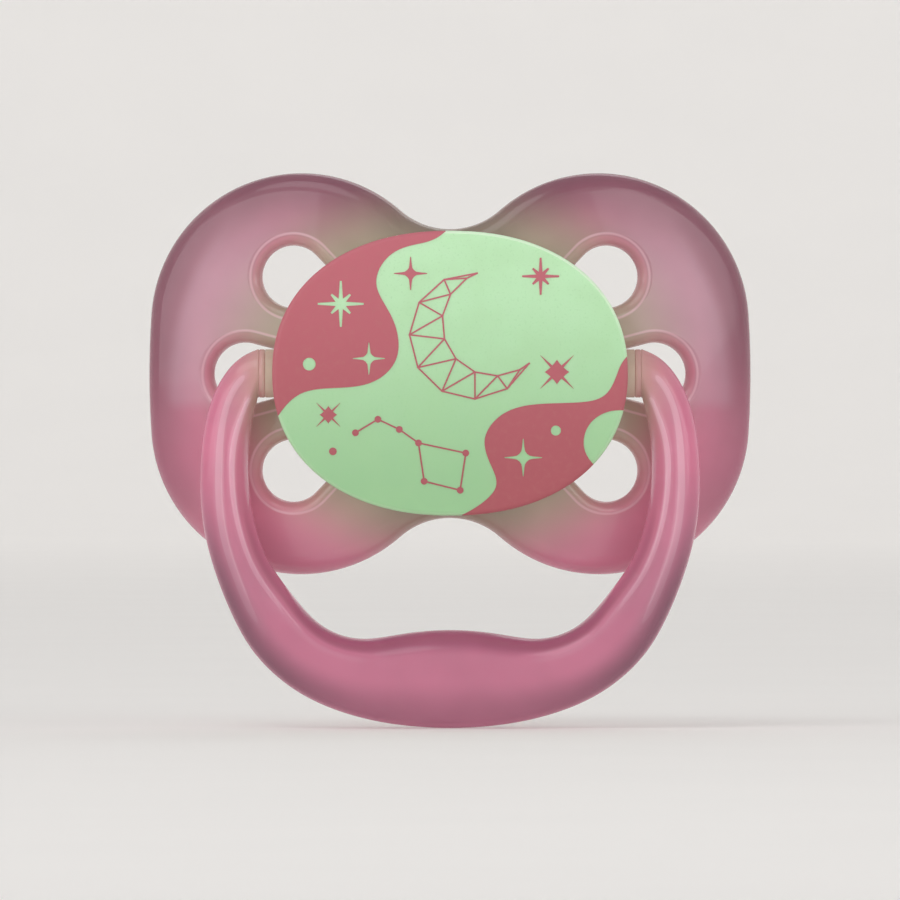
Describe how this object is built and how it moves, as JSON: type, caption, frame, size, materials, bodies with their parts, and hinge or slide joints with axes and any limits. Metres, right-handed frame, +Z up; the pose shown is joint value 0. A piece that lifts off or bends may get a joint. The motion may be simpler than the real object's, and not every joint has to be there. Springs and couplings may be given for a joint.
{
  "type": "pacifier",
  "caption": "Baby pacifier with a curved butterfly shield, air holes, a glow-in-the-dark printed oval button, a swinging ring handle and a soft nipple.",
  "frame": {"origin": "middle of the button's flat front face, on the nipple's axis", "axes": "+Z up with the handle hanging towards -Z, button facing -Y, nipple pointing along +Y, handle pivot axis parallel to X at y = 4.1 mm"},
  "size_m": [0.054, 0.0347, 0.0495],
  "materials": {
    "shield_pink": "gloss, slightly see-through",
    "ring_pink": "gloss, slightly see-through",
    "glow_green": "satin, glows pale green",
    "print_ink": "satin ink, see-through to the glow",
    "plug_white": "satin",
    "silicone": "clear soft silicone"
  },
  "bodies": {
    "pacifier": {"shield": "shield_pink", "button_cover": "glow_green", "nipple_plug": "plug_white", "nipple": "silicone"},
    "ring": {"ring_handle": "ring_pink"}
  },
  "joints": [
    {"name": "ring_hinge", "type": "hinge", "parent": "pacifier", "child": "ring", "pos_m": [0, 0.0041, 0], "axis": [-1, 0, 0], "range_deg": [-5, 185]}
  ]
}
